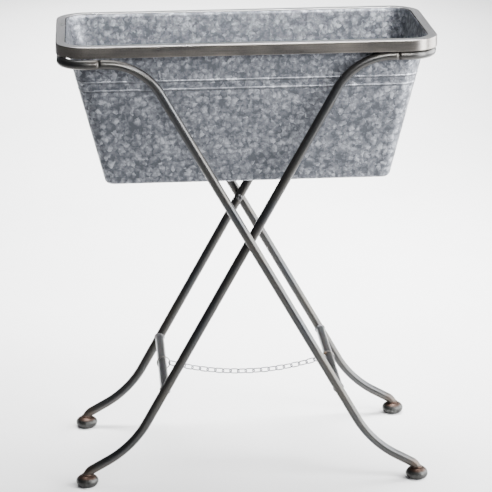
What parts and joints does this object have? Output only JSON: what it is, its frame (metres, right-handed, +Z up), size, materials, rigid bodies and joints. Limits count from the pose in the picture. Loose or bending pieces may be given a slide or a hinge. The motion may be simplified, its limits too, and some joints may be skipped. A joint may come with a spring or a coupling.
{
  "type": "raised planter on legs",
  "caption": "Tapered galvanised tub planter with a banded rim, lifted out of a folding X stand of bent steel tube with ball feet and a limit chain.",
  "frame": {"origin": "on the floor under the middle of the planter", "axes": "+X along the tub to the end whose feet belong to the outer frame, -Y the front, +Z up"},
  "size_m": [0.64, 0.3442, 0.786],
  "materials": {
    "galvanised_tub": "hot-dip galvanised sheet, mottled blue-grey spangle, satin",
    "rim_band": "dark bronze-grey brushed band with a paler flat top",
    "stand_tube": "dark pewter lacquered steel tube",
    "foot_metal": "dark pewter with a brown heat tint where the tube enters",
    "zinc_hardware": "zinc plated",
    "chain_zinc": "bright zinc plated wire",
    "ring_wire": "dull grey steel wire",
    "stop_screw": "browned screw head"
  },
  "bodies": {
    "pivots": {"pivot_screws": "zinc_hardware", "pivot_washers": "zinc_hardware"},
    "outer_frame": {"outer_end_rail": "stand_tube", "outer_front_leg": "stand_tube", "outer_back_leg": "stand_tube", "outer_cross_rail": "stand_tube", "outer_front_foot": "foot_metal", "outer_back_foot": "foot_metal", "outer_rivet_nuts": "zinc_hardware", "ring_stop_screw": "stop_screw"},
    "inner_frame": {"inner_end_rail": "stand_tube", "inner_front_leg": "stand_tube", "inner_back_leg": "stand_tube", "inner_cross_rail": "stand_tube", "inner_front_foot": "foot_metal", "inner_back_foot": "foot_metal"},
    "tub": {"tub_wall": "galvanised_tub", "tub_base": "galvanised_tub", "tub_rim": "rim_band"},
    "chain_left": {"chain_left_links": "chain_zinc", "chain_left_ring": "ring_wire"},
    "chain_right": {"chain_right_links": "chain_zinc", "chain_right_ring": "ring_wire"}
  },
  "joints": [
    {"name": "tub_lift", "type": "slide", "parent": "pivots", "child": "tub", "axis": [0, 0, 1], "range_m": [0, 0.77]},
    {"name": "outer_fold", "type": "hinge", "parent": "pivots", "child": "outer_frame", "pos_m": [0, 0, 0.4415], "axis": [0, 1, 0], "range_deg": [0, 26.85]},
    {"name": "inner_fold", "type": "hinge", "parent": "pivots", "child": "inner_frame", "pos_m": [0, 0, 0.4415], "axis": [0, -1, 0], "range_deg": [0, 26.85]},
    {"name": "chain_left_hang", "type": "hinge", "parent": "inner_frame", "child": "chain_left", "pos_m": [-0.15058, 0, 0.1735], "axis": [0, 1, 0], "range_deg": [0, 104.8], "deforming": ["chain_left_links"]},
    {"name": "chain_right_hang", "type": "hinge", "parent": "outer_frame", "child": "chain_right", "pos_m": [0.15058, 0, 0.1735], "axis": [0, -1, 0], "range_deg": [0, 104.8], "deforming": ["chain_right_links"]}
  ],
  "couplings": [
    {"joint": "outer_fold", "follows": "tub_lift", "rad_per_m": 0.6075},
    {"joint": "inner_fold", "follows": "tub_lift", "rad_per_m": 0.6075},
    {"joint": "chain_left_hang", "follows": "tub_lift", "rad_per_m": 2.37},
    {"joint": "chain_right_hang", "follows": "tub_lift", "rad_per_m": 2.37}
  ]
}
